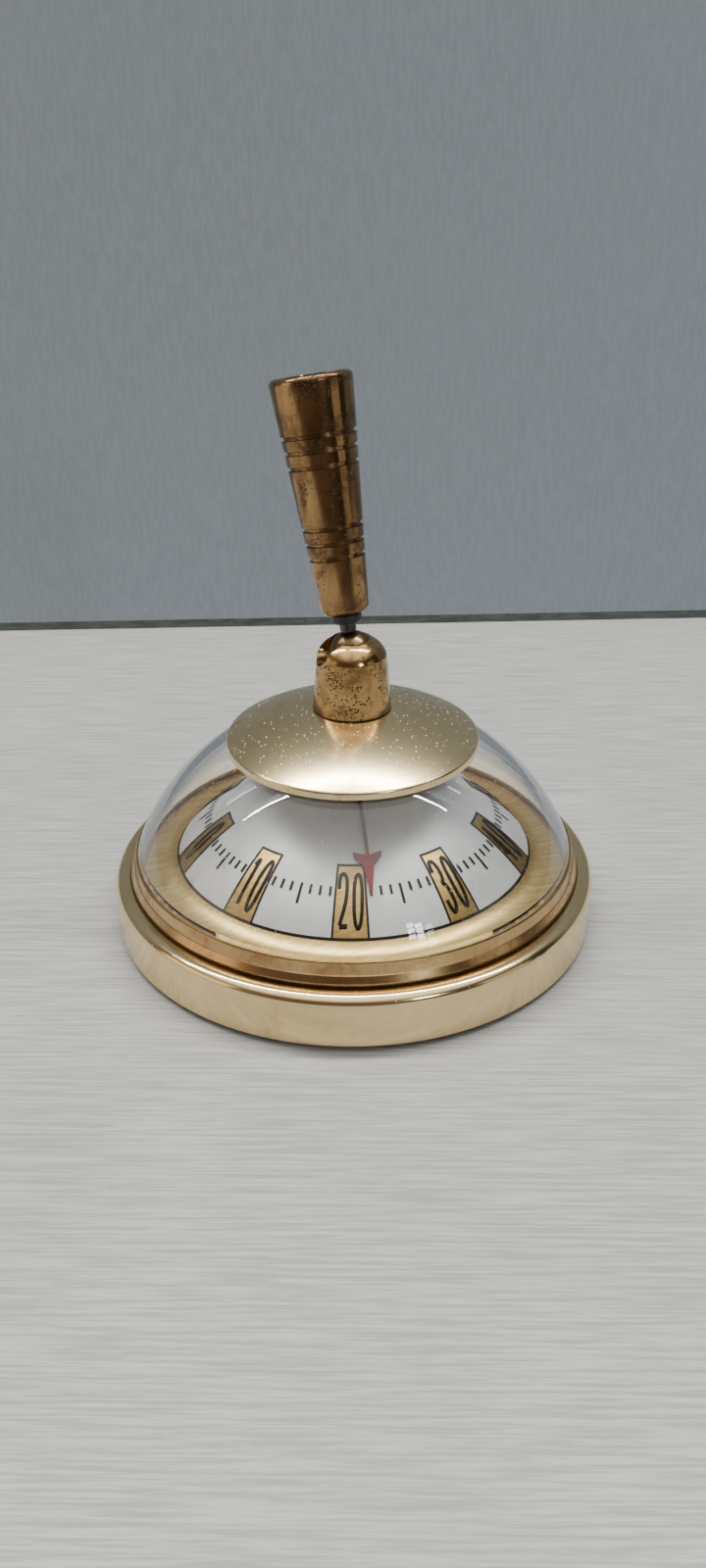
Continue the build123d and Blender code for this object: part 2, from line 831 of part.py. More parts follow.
def make_arbor():
    outline = Polyline(
        (0, pivot_foot),
        (pivot_radius, pivot_foot),
        (pivot_radius, bearing_top + 0.1),
        (arbor_radius, bearing_top + 0.1),
        (arbor_radius, arbor_top),
        (0, arbor_top),
        close=True,
    )
    return turned(outline)


def make_coil_collet():
    low = coil_low - 0.4
    return tube(collet_radius, arbor_radius + slip_fit, low, low + collet_height)


def make_bimetal_coil():
    """Flat spiral strip of half circles, whose centres alternate about the axis."""
    half = coil_strip / 2
    outer_edges = []
    inner_edges = []
    side = 1
    end = coil_start_radius
    for i in range(coil_half_turns):
        radius = coil_start_radius + i * coil_pitch / 2 + coil_pitch / 4
        centre = -side * (coil_start_radius + i * coil_pitch / 2) + side * radius
        start = centre - side * radius
        end = centre + side * radius
        turn_side = 1 if i % 2 == 0 else -1
        for edges, offset in ((outer_edges, half), (inner_edges, -half)):
            reach = radius + offset
            edges.append(
                ThreePointArc(
                    (centre - side * reach, 0),
                    (centre, -turn_side * reach),
                    (centre + side * reach, 0),
                )
            )
        side = -side
    start_x = -coil_start_radius
    end_side = 1 if end > 0 else -1
    inner_cap = Line((start_x + half, 0), (start_x - half, 0))
    outer_cap = Line((end - end_side * half, 0), (end + end_side * half, 0))
    wire = Wire([edge for line in [*outer_edges, *inner_edges, inner_cap, outer_cap] for edge in line.edges()])
    return Pos(0, 0, coil_low) * extrude(make_face(wire), coil_height)


coil_end_side = 1 if coil_half_turns % 2 else -1
anchor_post_place = Pos(coil_end_side * (coil_end_radius + coil_strip / 2 + post_radius + 0.02), 0, 0)


def make_anchor_post():
    return anchor_post_place * rod(post_radius, frame_height, coil_low + coil_height + 0.6)


def make_hand_hub():
    outline = Polyline(
        (arbor_radius + slip_fit, hub_low),
        (hub_flange_radius, hub_low),
        (hub_flange_radius, hub_seat),
        (hub_radius, hub_seat),
        (hub_radius, arbor_top - 0.3),
        (hub_radius - 0.3, arbor_top),
        (arbor_radius + slip_fit, arbor_top),
        close=True,
    )
    return turned(outline)


def make_hand():
    """Arrow-headed hand, pressed to follow the domed dial at an even distance."""
    half = hand_shaft_width / 2
    neck = hand_tip_radius - hand_head_length
    barb = hand_tip_radius - hand_barb_length
    waist = hand_waist_half_width
    upper_side = [
        (neck - 0.9, half),
        (barb, hand_barb_half_width),
        (barb + 0.75, hand_barb_half_width - 0.2),
        (neck + 0.9, waist),
        (hand_tip_radius, 0.12),
    ]
    lower_side = [(x, -y) for x, y in reversed(upper_side)]
    head = make_face(Polyline(*upper_side, *lower_side, close=True))
    shaft = Pos((neck - hand_tail_length) / 2, 0) * Rectangle(neck + hand_tail_length, hand_shaft_width)
    outline = head + shaft + Circle(hand_boss_radius)
    outline -= Circle(hub_radius + slip_fit)
    low = dial_apex - dial_ball_radius / 2
    prism = Pos(0, 0, low) * extrude(outline, dial_ball_radius)
    centre = Pos(0, 0, dial_centre_height)
    shell = centre * Sphere(hand_inner_radius + hand_sheet) - centre * Sphere(hand_inner_radius)
    return Rot(0, 0, hand_scale_angle - 90) * (prism & shell)


makers = {
    "base_pad": make_base_pad,
    "base_plate": make_base_plate,
    "base_screws": make_base_screws,
    "ballast_screws": make_ballast_screws,
    "shell_pillars": make_shell_pillars,
    "ballast": make_ballast,
    "base_shell": make_base_shell,
    "bezel_ring": make_bezel_ring,
    "dial_plate": make_dial_plate,
    "dome_gasket": make_dome_gasket,
    "crystal_dome": make_crystal_dome,
    "cushion_washer": make_cushion_washer,
    "cap_disc": make_cap_disc,
    "socket_cup": make_socket_cup,
    "socket_plug": make_socket_plug,
    "disc_springs": make_disc_springs,
    "ball_seat": make_ball_seat,
    "socket_stud": make_socket_stud,
    "stud_nut": make_stud_nut,
    "spring_washer": make_spring_washer,
    "swivel_ball": make_swivel_ball,
    "stem": make_stem,
    "lock_collar": make_lock_collar,
    "pen_funnel": make_pen_funnel,
    "funnel_liner": make_funnel_liner,
    "movement_frame": make_movement_frame,
    "frame_pillars": make_frame_pillars,
    "frame_screws": make_frame_screws,
    "lower_bearing": make_lower_bearing,
    "dial_bush": make_dial_bush,
    "arbor": make_arbor,
    "coil_collet": make_coil_collet,
    "bimetal_coil": make_bimetal_coil,
    "anchor_post": make_anchor_post,
    "hand_hub": make_hand_hub,
    "hand": make_hand,
}

os.makedirs("parts", exist_ok=True)
for node, maker in makers.items():
    export_step(maker(), f"parts/{node}.step")
slot_direction = Vector(cos(radians(cup_slot_angle)), sin(radians(cup_slot_angle)), 0)
print("ball centre height", round(ball_centre_height, 6))
print("stem direction", [round(value, 6) for value in lean])
print("tilt axis", [round(value, 6) for value in lean.cross(slot_direction).normalized()])
print("liner bore from", round(funnel_floor_z + liner_wall, 3), "to", round(funnel_floor_z + liner_bore_length, 3))
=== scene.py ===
import bpy
from math import cos, pi, radians, sin, tan
from mathutils import Matrix, Vector


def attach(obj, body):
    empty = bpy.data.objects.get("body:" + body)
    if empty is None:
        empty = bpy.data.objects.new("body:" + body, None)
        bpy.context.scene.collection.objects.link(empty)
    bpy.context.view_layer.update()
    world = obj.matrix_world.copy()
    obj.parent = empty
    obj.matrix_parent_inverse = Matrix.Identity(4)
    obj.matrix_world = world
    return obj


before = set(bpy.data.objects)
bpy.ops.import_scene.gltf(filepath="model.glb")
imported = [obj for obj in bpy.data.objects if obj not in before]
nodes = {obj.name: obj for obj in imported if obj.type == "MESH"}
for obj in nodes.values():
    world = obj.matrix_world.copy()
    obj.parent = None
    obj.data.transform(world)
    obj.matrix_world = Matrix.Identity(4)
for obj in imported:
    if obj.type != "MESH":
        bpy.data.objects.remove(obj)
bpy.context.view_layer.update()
bpy.ops.object.select_all(action="DESELECT")
mm = 0.001
print("frame loaded:", len(nodes), "pieces")


# small helpers for node trees

def add(tree, kind, inputs=None, **settings):
    node = tree.nodes.new("ShaderNode" + kind)
    for key, value in settings.items():
        setattr(node, key, value)
    for key, value in (inputs or {}).items():
        if isinstance(value, bpy.types.NodeSocket):
            tree.links.new(value, node.inputs[key])
        else:
            node.inputs[key].default_value = value
    return node


def calc(tree, operation, a, b=0.0, clamp=False):
    return add(tree, "Math", {0: a, 1: b}, operation=operation, use_clamp=clamp).outputs[0]


def soft(tree, value, low, high):                     # 0 below low, 1 above high
    return add(tree, "MapRange", {"Value": value, "From Min": low, "From Max": high},
               interpolation_type="SMOOTHSTEP").outputs["Result"]


def blend(tree, factor, a, b, mode="MIX"):
    mix = add(tree, "Mix", {"Factor": factor}, data_type="RGBA", blend_type=mode)
    for key, value in ((6, a), (7, b)):
        if isinstance(value, bpy.types.NodeSocket):
            tree.links.new(value, mix.inputs[key])
        else:
            mix.inputs[key].default_value = (*value, 1)
    return mix.outputs[2]


def between(tree, factor, a, b):                      # plain number that runs from a to b
    return add(tree, "MapRange", {"Value": factor, "To Min": a, "To Max": b}).outputs["Result"]


def newGroup(name, inputs, outputs):
    tree = bpy.data.node_groups.new(name, "ShaderNodeTree")
    for key, default in inputs.items():
        kind = "NodeSocketVector" if default is None else "NodeSocketFloat"
        socket = tree.interface.new_socket(name=key, in_out="INPUT", socket_type=kind)
        if default is not None:
            socket.default_value = default
    for key in outputs:
        tree.interface.new_socket(name=key, in_out="OUTPUT", socket_type="NodeSocketFloat")
    source = tree.nodes.new("NodeGroupInput").outputs
    target = tree.nodes.new("NodeGroupOutput").inputs
    return tree, source, target


def use(tree, group, inputs):
    node = tree.nodes.new("ShaderNodeGroup")
    node.node_tree = group
    for key, value in inputs.items():
        if isinstance(value, bpy.types.NodeSocket):
            tree.links.new(value, node.inputs[key])
        else:
            node.inputs[key].default_value = value
    return node.outputs


# effects that several finishes share; each gives masks and heights only

def buildGrain():                                     # long fine lines along X of the given vector
    tree, source, target = newGroup("brushGrain", {"Vector": None, "Lines per mm": 6.0, "Length mm": 14.0},
                                    ["Grain", "Streaks"])
    split = add(tree, "SeparateXYZ", {0: source["Vector"]}).outputs
    run = calc(tree, "DIVIDE", split["X"], source["Length mm"])
    across = calc(tree, "MULTIPLY", split["Y"], source["Lines per mm"])
    depth = calc(tree, "MULTIPLY", split["Z"], source["Lines per mm"])
    vector = add(tree, "CombineXYZ", {"X": run, "Y": across, "Z": depth}).outputs[0]
    fine = add(tree, "TexNoise", {"Vector": vector, "Scale": 1.0, "Detail": 5.0, "Roughness": 0.75}).outputs["Fac"]
    wide = add(tree, "TexNoise", {"Vector": vector, "Scale": 0.13, "Detail": 3.0, "Roughness": 0.6}).outputs["Fac"]
    tree.links.new(fine, target["Grain"])
    tree.links.new(wide, target["Streaks"])
    return tree


def buildTarnish():                                   # soft cloudy stain with ragged edges
    tree, source, target = newGroup("tarnish", {"Vector": None, "Size mm": 6.0, "Amount": 0.4}, ["Mask", "Mottle"])
    scale = calc(tree, "DIVIDE", 1.0, source["Size mm"])
    cloud = add(tree, "TexNoise", {"Vector": source["Vector"], "Scale": scale, "Detail": 8.0,
                                   "Roughness": 0.62, "Distortion": 0.6}).outputs["Fac"]
    fine = add(tree, "TexNoise", {"Vector": source["Vector"], "Scale": calc(tree, "MULTIPLY", scale, 9.0),
                                  "Detail": 6.0, "Roughness": 0.7}).outputs["Fac"]
    edge = calc(tree, "SUBTRACT", 0.74, calc(tree, "MULTIPLY", source["Amount"], 0.5))
    value = calc(tree, "ADD", calc(tree, "MULTIPLY", cloud, 0.78), calc(tree, "MULTIPLY", fine, 0.22))
    mask = soft(tree, calc(tree, "SUBTRACT", value, edge), -0.09, 0.12)
    tree.links.new(mask, target["Mask"])
    tree.links.new(fine, target["Mottle"])
    return tree


def buildPits():                                      # small dark corrosion spots that gather in patches
    tree, source, target = newGroup("pits", {"Vector": None, "Spot mm": 0.6, "Patch mm": 7.0, "Amount": 0.5},
                                    ["Mask", "Height"])
    warp = add(tree, "TexNoise", {"Vector": source["Vector"], "Scale": 1.6, "Detail": 3.0}).outputs["Color"]
    bent = add(tree, "MixRGB", {"Fac": 0.12, 1: source["Vector"], 2: warp}, blend_type="ADD").outputs[0]
    cells = add(tree, "TexVoronoi", {"Vector": bent, "Scale": calc(tree, "DIVIDE", 1.0, source["Spot mm"]),
                                     "Randomness": 1.0})
    patch = add(tree, "TexNoise", {"Vector": source["Vector"], "Scale": calc(tree, "DIVIDE", 1.0, source["Patch mm"]),
                                   "Detail": 5.0, "Roughness": 0.65}).outputs["Fac"]
    pick = add(tree, "SeparateColor", {0: cells.outputs["Color"]}).outputs[0]
    room = calc(tree, "MULTIPLY", soft(tree, patch, 0.40, 0.62), source["Amount"])
    size = calc(tree, "MULTIPLY", calc(tree, "SUBTRACT", room, calc(tree, "MULTIPLY", pick, 0.75)), 0.8)
    size = calc(tree, "MINIMUM", size, 0.42)
    depth = calc(tree, "SUBTRACT", size, cells.outputs["Distance"])
    mask = soft(tree, depth, 0.0, 0.07)
    tree.links.new(mask, target["Mask"])
    tree.links.new(calc(tree, "MULTIPLY", mask, -1.0), target["Height"])
    return tree


def buildDust():                                      # pale specks and lint that lie on upward faces
    tree, source, target = newGroup("dust", {"Vector": None, "Speck mm": 0.8, "Amount": 0.3}, ["Mask"])
    cells = add(tree, "TexVoronoi", {"Vector": source["Vector"], "Randomness": 1.0,
                                     "Scale": calc(tree, "DIVIDE", 1.0, source["Speck mm"])})
    pick = add(tree, "SeparateColor", {0: cells.outputs["Color"]}).outputs[0]
    share = calc(tree, "MULTIPLY", source["Amount"], 0.5)
    chosen = calc(tree, "GREATER_THAN", pick, calc(tree, "SUBTRACT", 1.0, share))
    dot = soft(tree, calc(tree, "SUBTRACT", 0.24, cells.outputs["Distance"]), 0.0, 0.1)
    patch = add(tree, "TexNoise", {"Vector": source["Vector"], "Scale": 0.11, "Detail": 4.0}).outputs["Fac"]
    up = add(tree, "SeparateXYZ", {0: tree.nodes.new("ShaderNodeNewGeometry").outputs["Normal"]}).outputs["Z"]
    mask = calc(tree, "MULTIPLY", calc(tree, "MULTIPLY", dot, chosen), soft(tree, patch, 0.36, 0.6))
    tree.links.new(calc(tree, "MULTIPLY", mask, soft(tree, up, 0.2, 0.7)), target["Mask"])
    return tree


grainGroup = buildGrain()
tarnishGroup = buildTarnish()
pitsGroup = buildPits()
dustGroup = buildDust()
print("shared effects built")


# finishes: newFinish starts one, and feed joins sockets to its shader

def newFinish(name, **plain):
    material = bpy.data.materials.new(name)
    material.use_nodes = True
    tree = material.node_tree
    shader = tree.nodes["Principled BSDF"]
    for key, value in plain.items():
        shader.inputs[key.replace("_", " ")].default_value = value
    return material, tree, shader


def millimetres(tree, turn=(0, 0, 0), shift=(0, 0, 0), stretch=(1, 1, 1)):   # object coordinates in mm
    coordinates = tree.nodes.new("ShaderNodeTexCoord").outputs["Object"]
    scale = [1000 * value for value in stretch]
    settings = {"Vector": coordinates, "Location": shift, "Rotation": turn, "Scale": scale}
    return add(tree, "Mapping", settings).outputs[0]


def fromAxis(tree, place):                            # distance from the upright axis, in mm
    split = add(tree, "SeparateXYZ", {0: place}).outputs
    squares = [calc(tree, "MULTIPLY", split[key], split[key]) for key in ("X", "Y")]
    return calc(tree, "SQRT", calc(tree, "ADD", *squares))


def feed(tree, shader, **links):
    for key, socket in links.items():
        tree.links.new(socket, shader.inputs[key.replace("_", " ")])


def bump(tree, height, distance, strength=1.0):
    return add(tree, "Bump", {"Height": height, "Distance": distance, "Strength": strength}).outputs["Normal"]


dustColour = (0.86, 0.84, 0.8)
shadeAndGrimeColour = (0.03, 0.018, 0.01)                     # painted shade with some grime; it gathers near corners, within the reach set on the next line
shadeAndGrimeReach = 1.1 * mm


# brass in all its states: bright colour, stain, pits, fine scratches, dust, and painted shade with some grime in
# corners
def brassFinish(name, look):
    material, tree, shader = newFinish(name)
    place = millimetres(tree, turn=look.get("turn", (0, 0, 0)))
    stain = use(tree, tarnishGroup, {"Vector": place, "Size mm": look["stainSize"], "Amount": look["stain"]})
    spots = use(tree, pitsGroup, {"Vector": place, "Spot mm": look["pitSize"], "Patch mm": look["pitPatch"],
                                  "Amount": look["pits"]})
    lines = use(tree, grainGroup, {"Vector": place, "Lines per mm": look["lines"], "Length mm": look["lineLength"]})
    cloudy = add(tree, "TexNoise", {"Vector": place, "Scale": 0.07, "Detail": 4.0}).outputs["Fac"]
    bright = blend(tree, soft(tree, cloudy, 0.3, 0.7), look["bright"], look["brightAlt"])
    colour = blend(tree, stain["Mask"], bright, look["stained"])
    colour = blend(tree, calc(tree, "MULTIPLY", soft(tree, lines["Streaks"], 0.45, 0.75), look["streak"]),
                   colour, look["stained"])
    colour = blend(tree, spots["Mask"], colour, look["pitColour"])
    rough = between(tree, stain["Mask"], look["polish"], look["dull"])
    uneven = calc(tree, "MULTIPLY", calc(tree, "SUBTRACT", lines["Grain"], 0.5), look["grainRough"])
    rough = calc(tree, "ADD", rough, uneven)
    rough = calc(tree, "ADD", rough, calc(tree, "MULTIPLY", spots["Mask"], 0.45), clamp=True)
    metal = between(tree, spots["Mask"], 1.0, 0.25)
    if look.get("dust"):
        specks = use(tree, dustGroup, {"Vector": place, "Speck mm": look.get("speck", 0.7), "Amount": look["dust"]})
        colour = blend(tree, specks["Mask"], colour, dustColour)
        rough = blend(tree, specks["Mask"], rough, (0.9, 0.9, 0.9))
        metal = calc(tree, "SUBTRACT", metal, specks["Mask"], clamp=True)
    # painted shade: ambient occlusion darkens the brass in corners, grooves and under parts, partly standing for
    # grime there
    corner = add(tree, "AmbientOcclusion", {"Distance": shadeAndGrimeReach}, samples=8).outputs["AO"]
    shadeAndGrime = calc(tree, "MULTIPLY", soft(tree, calc(tree, "SUBTRACT", 1.0, corner), 0.25, 0.6), look["shadeAndGrime"])
    colour = blend(tree, shadeAndGrime, colour, shadeAndGrimeColour)
    rough = calc(tree, "ADD", rough, calc(tree, "MULTIPLY", shadeAndGrime, 0.4), clamp=True)
    height = calc(tree, "ADD", calc(tree, "MULTIPLY", lines["Grain"], look["grainDepth"]),
                  calc(tree, "MULTIPLY", spots["Height"], look["pitDepth"]))
    feed(tree, shader, Base_Color=colour, Roughness=rough, Metallic=metal, Normal=bump(tree, height, 0.1 * mm))
    return material


# the last number in each look is the strength of the painted corner shade, with some grime
brassLooks = {
    "skirt": dict(bright=(0.84, 0.66, 0.36), brightAlt=(0.80, 0.61, 0.32), stained=(0.52, 0.35, 0.15), stain=0.16,
                  stainSize=14.0, pits=0.12, pitSize=0.5, pitPatch=12.0, pitColour=(0.1, 0.06, 0.03), pitDepth=0.3,
                  lines=4.0, lineLength=3.0, streak=0.1, polish=0.15, dull=0.28, grainRough=0.1, grainDepth=0.012,
                  turn=(0, radians(90), 0), dust=0.1, shadeAndGrime=0.5),
    "bezel": dict(bright=(0.52, 0.33, 0.15), brightAlt=(0.62, 0.42, 0.2), stained=(0.3, 0.155, 0.07), stain=0.3,
                  stainSize=9.0, pits=0.15, pitSize=0.4, pitPatch=8.0, pitColour=(0.1, 0.06, 0.03), pitDepth=0.3,
                  lines=7.0, lineLength=6.0, streak=0.35, polish=0.2, dull=0.36, grainRough=0.16, grainDepth=0.04,
                  turn=(0, radians(90), 0), shadeAndGrime=0.7),
    "cap": dict(bright=(0.85, 0.68, 0.38), brightAlt=(0.80, 0.62, 0.34), stained=(0.46, 0.32, 0.15), stain=0.2,
                stainSize=11.0, pits=0.5, pitSize=0.5, pitPatch=8.0, pitColour=(0.12, 0.08, 0.04), pitDepth=0.2,
                lines=5.0, lineLength=20.0, streak=0.08, polish=0.2, dull=0.3, grainRough=0.08, grainDepth=0.012,
                dust=0.6, speck=0.75, shadeAndGrime=0.6),
    "cup": dict(bright=(0.55, 0.36, 0.15), brightAlt=(0.44, 0.27, 0.11), stained=(0.24, 0.135, 0.05), stain=0.45,
                stainSize=5.0, pits=1.25, pitSize=0.55, pitPatch=4.5, pitColour=(0.02, 0.012, 0.008), pitDepth=1.0,
                lines=6.0, lineLength=5.0, streak=0.35, polish=0.13, dull=0.28, grainRough=0.08, grainDepth=0.015,
                turn=(0, radians(90), 0), shadeAndGrime=0.95),
    "ball": dict(bright=(0.34, 0.23, 0.11), brightAlt=(0.25, 0.17, 0.09), stained=(0.09, 0.055, 0.03), stain=0.5,
                 stainSize=3.0, pits=0.5, pitSize=0.4, pitPatch=4.0, pitColour=(0.02, 0.014, 0.01), pitDepth=0.6,
                 lines=6.0, lineLength=5.0, streak=0.3, polish=0.2, dull=0.4, grainRough=0.1, grainDepth=0.02,
                 shadeAndGrime=0.8),
    "funnel": dict(bright=(0.42, 0.26, 0.115), brightAlt=(0.3, 0.175, 0.08), stained=(0.13, 0.068, 0.034),
                   stain=0.42, stainSize=7.0, pits=0.85, pitSize=0.5, pitPatch=7.0, pitColour=(0.035, 0.02, 0.012), pitDepth=0.4,
                   lines=5.0, lineLength=16.0, streak=0.45, polish=0.12, dull=0.26, grainRough=0.08, grainDepth=0.012,
                   turn=(0, radians(80), 0), shadeAndGrime=0.97),
    "movement": dict(bright=(0.74, 0.55, 0.26), brightAlt=(0.7, 0.5, 0.24), stained=(0.42, 0.28, 0.12), stain=0.15,
                     stainSize=8.0, pits=0.1, pitSize=0.4, pitPatch=8.0, pitColour=(0.1, 0.06, 0.03), pitDepth=0.3,
                     lines=8.0, lineLength=10.0, streak=0.1, polish=0.28, dull=0.4, grainRough=0.15, grainDepth=0.03,
                     shadeAndGrime=0.5),
}


# the dial sheet: bare brushed brass outside, silver-white lacquer inside the field
dialLook = dict(fieldRadius=39.5, grainTurn=radians(-22),
                lacquer=(0.60, 0.595, 0.58), lacquerAlt=(0.53, 0.525, 0.515),
                brass=(0.84, 0.59, 0.22), brassAlt=(0.88, 0.65, 0.28), brassDark=(0.6, 0.39, 0.13),
                boxShade=(0.62, 0.58, 0.52))


def brushedSheet(tree, place):
    look = dialLook
    lines = use(tree, grainGroup, {"Vector": place, "Lines per mm": 9.0, "Length mm": 3.5})
    colour = blend(tree, soft(tree, lines["Grain"], 0.35, 0.65), look["brassDark"], look["brass"])
    colour = blend(tree, soft(tree, lines["Streaks"], 0.4, 0.65), colour, look["brassAlt"])
    return colour, lines["Grain"]


def dialFinish():
    material, tree, shader = newFinish("dialSheet", Coat_Roughness=0.12)
    place = millimetres(tree, turn=(0, 0, dialLook["grainTurn"]))
    reach = fromAxis(tree, place)
    white = calc(tree, "LESS_THAN", reach, dialLook["fieldRadius"])
    brass, grain = brushedSheet(tree, place)
    cloud = add(tree, "TexNoise", {"Vector": place, "Scale": 0.16, "Detail": 6.0}).outputs["Fac"]
    fleck = add(tree, "TexNoise", {"Vector": place, "Scale": 9.0, "Detail": 2.0}).outputs["Fac"]
    lacquer = blend(tree, soft(tree, cloud, 0.35, 0.7), dialLook["lacquer"], dialLook["lacquerAlt"])
    lacquer = blend(tree, calc(tree, "MULTIPLY", soft(tree, fleck, 0.5, 0.8), 0.15), lacquer, (0.8, 0.8, 0.8))
    specks = use(tree, dustGroup, {"Vector": place, "Speck mm": 1.1, "Amount": 0.25})
    colour = blend(tree, white, brass, lacquer)
    colour = blend(tree, calc(tree, "MULTIPLY", specks["Mask"], 0.6), colour, (0.8, 0.79, 0.76))
    metal = between(tree, white, 1.0, 0.35)
    rough = calc(tree, "ADD", between(tree, white, 0.34, 0.42), calc(tree, "MULTIPLY", grain, 0.08))
    height = calc(tree, "MULTIPLY", grain, between(tree, white, 0.16, 0.01))
    feed(tree, shader, Base_Color=colour, Metallic=metal, Roughness=rough, Normal=bump(tree, height, 0.1 * mm))
    return material


def boxFinish():
    material, tree, shader = newFinish("boxBrass", Metallic=1.0)
    place = millimetres(tree, turn=(0, 0, dialLook["grainTurn"]))
    brass, grain = brushedSheet(tree, place)
    brass = blend(tree, 1.0, brass, dialLook["boxShade"], "MULTIPLY")
    rough = calc(tree, "ADD", 0.32, calc(tree, "MULTIPLY", grain, 0.1))
    feed(tree, shader, Base_Color=brass, Roughness=rough,
         Normal=bump(tree, calc(tree, "MULTIPLY", grain, 0.16), 0.1 * mm))
    return material


def inkFinish():
    material, tree, shader = newFinish("printInk", Specular_IOR_Level=0.12)
    place = millimetres(tree)
    patchy = add(tree, "TexNoise", {"Vector": place, "Scale": 2.5, "Detail": 5.0}).outputs["Fac"]
    colour = blend(tree, soft(tree, patchy, 0.4, 0.7), (0.006, 0.004, 0.0035), (0.02, 0.013, 0.009))
    feed(tree, shader, Base_Color=colour, Roughness=between(tree, patchy, 0.6, 0.9))
    return material


def glassFinish():
    material, tree, shader = newFinish("clearDome", Base_Color=(0.985, 0.99, 0.99, 1), Transmission_Weight=1.0,
                                       IOR=1.49, Metallic=0.0)
    place = millimetres(tree)
    smear = add(tree, "TexNoise", {"Vector": place, "Scale": 0.09, "Detail": 7.0, "Roughness": 0.7}).outputs["Fac"]
    specks = use(tree, dustGroup, {"Vector": place, "Speck mm": 0.9, "Amount": 0.35})
    rough = calc(tree, "ADD", calc(tree, "MULTIPLY", soft(tree, smear, 0.5, 0.75), 0.014),
                 calc(tree, "MULTIPLY", specks["Mask"], 0.5))
    scuff = add(tree, "TexNoise", {"Vector": place, "Scale": 1.4, "Detail": 3.0}).outputs["Fac"]
    feed(tree, shader, Roughness=rough, Normal=bump(tree, scuff, 0.002 * mm, 0.3))
    clear = add(tree, "BsdfTransparent", {"Color": (0.93, 0.94, 0.94, 1)}).outputs[0]
    rays = tree.nodes.new("ShaderNodeLightPath").outputs
    mirrored = calc(tree, "SUBTRACT", rays["Is Glossy Ray"], rays["Is Transmission Ray"], clamp=True)
    bounced = calc(tree, "MAXIMUM", rays["Is Diffuse Ray"], mirrored)
    straight = calc(tree, "MAXIMUM", rays["Is Shadow Ray"], bounced)   # light reaches the dial once
    both = add(tree, "MixShader", {0: straight, 1: shader.outputs[0], 2: clear}).outputs[0]
    tree.links.new(both, tree.nodes["Material Output"].inputs["Surface"])
    return material


def plainFinish(name, look):                          # rubber, plastic, steel, iron: base colour, mottle and grit
    material, tree, shader = newFinish(name, Metallic=look.get("metal", 0.0))
    place = millimetres(tree)
    cloud = add(tree, "TexNoise", {"Vector": place, "Scale": look["cloud"], "Detail": 6.0}).outputs["Fac"]
    grit = add(tree, "TexNoise", {"Vector": place, "Scale": look["grit"], "Detail": 4.0}).outputs["Fac"]
    colour = blend(tree, soft(tree, cloud, 0.3, 0.7), look["colour"], look["alt"])
    rough = between(tree, grit, look["rough"] - 0.12, look["rough"] + 0.12)
    feed(tree, shader, Base_Color=colour, Roughness=rough,
         Normal=bump(tree, calc(tree, "MULTIPLY", grit, look["depth"]), 0.1 * mm))
    return material


plainLooks = {
    "padRubber": dict(colour=(0.014, 0.014, 0.015), alt=(0.028, 0.027, 0.026),
                      cloud=0.2, grit=3.5, rough=0.8, depth=0.8),
    "gasketRubber": dict(colour=(0.24, 0.15, 0.07), alt=(0.32, 0.2, 0.1),
                         cloud=0.3, grit=5.0, rough=0.7, depth=0.3),
    "cushionFibre": dict(colour=(0.22, 0.11, 0.05), alt=(0.3, 0.16, 0.08),
                         cloud=0.6, grit=6.0, rough=0.75, depth=0.4),
    "seatPlastic": dict(colour=(0.72, 0.69, 0.6), alt=(0.66, 0.62, 0.52),
                        cloud=0.4, grit=4.0, rough=0.45, depth=0.1),
    "linerPlastic": dict(colour=(0.012, 0.012, 0.012), alt=(0.022, 0.021, 0.02),
                         cloud=0.3, grit=3.0, rough=0.5, depth=0.2),
    "collarBlack": dict(colour=(0.014, 0.014, 0.016), alt=(0.03, 0.029, 0.03),
                        cloud=0.8, grit=4.0, rough=0.42, depth=0.3),
    "stemSteel": dict(colour=(0.13, 0.105, 0.11), alt=(0.07, 0.055, 0.055),
                      cloud=0.7, grit=4.0, rough=0.32, depth=0.2, metal=1.0),
    "screwSteel": dict(colour=(0.5, 0.5, 0.5), alt=(0.38, 0.37, 0.36),
                       cloud=0.5, grit=5.0, rough=0.34, depth=0.1, metal=1.0),
    "plateSteel": dict(colour=(0.42, 0.43, 0.45), alt=(0.33, 0.34, 0.35),
                       cloud=0.15, grit=3.0, rough=0.42, depth=0.15, metal=1.0),
    "socketSteel": dict(colour=(0.4, 0.4, 0.41), alt=(0.27, 0.27, 0.27),
                        cloud=0.5, grit=4.0, rough=0.36, depth=0.1, metal=1.0),
    "ballastIron": dict(colour=(0.09, 0.09, 0.095), alt=(0.05, 0.045, 0.04),
                        cloud=0.2, grit=1.5, rough=0.75, depth=2.0, metal=0.8),
    "bimetal": dict(colour=(0.5, 0.44, 0.36), alt=(0.58, 0.52, 0.46),
                    cloud=0.4, grit=6.0, rough=0.35, depth=0.1, metal=1.0),
}


# painted shade: the shaft colour stands in for the shade and reflection of the cap disc above it
handLook = dict(red=(0.22, 0.0, 0.003), redDeep=(0.13, 0.0, 0.002), shaftShade=(0.03, 0.01, 0.008), shaftEnd=24.5, fade=1.5)


